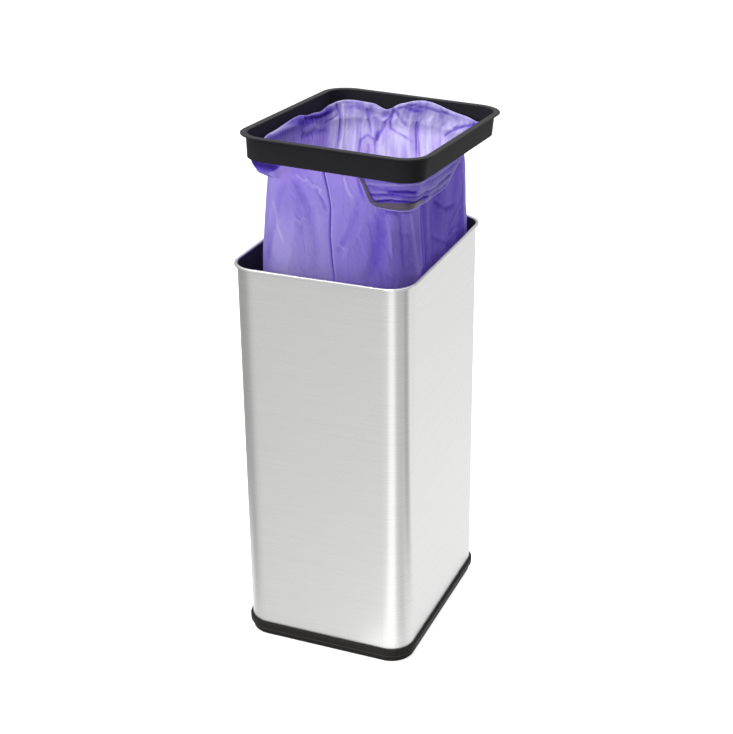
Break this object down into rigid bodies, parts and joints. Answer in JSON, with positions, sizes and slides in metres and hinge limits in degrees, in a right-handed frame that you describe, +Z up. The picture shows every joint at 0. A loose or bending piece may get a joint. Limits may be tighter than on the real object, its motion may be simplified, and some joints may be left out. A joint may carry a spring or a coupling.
{
  "type": "open trash can with its bag ring lifted out",
  "caption": "Tall rectangular brushed steel trash can on a black plastic base, with its black bag ring lifted out above it and a violet bag hung from the ring down into the can.",
  "frame": {"origin": "centre of the can's footprint, on the floor", "axes": "+Z up; X across the can's narrow side; Y along its wide side; the picture looks from the corner between -Y and +X"},
  "size_m": [0.3073, 0.3484, 0.7996],
  "materials": {
    "brushed_sleeve": "fine horizontal brushing outside, dark inside",
    "plain_steel": "plain zinc plated",
    "black_plastic": "fine satin grain",
    "black_ring_plastic": "satin",
    "black_rubber": "matt",
    "violet_film": "thin glossy film with soft creases",
    "grey_tape": "satin tape"
  },
  "bodies": {
    "root": {"steel_body": "brushed_sleeve", "base_moulding": "black_plastic", "floor_pan": "plain_steel", "foot_pads": "black_rubber", "base_screws": "plain_steel", "bag_ring": "black_ring_plastic", "liner_bag": "violet_film", "drawtape": "grey_tape"}
  },
  "joints": []
}
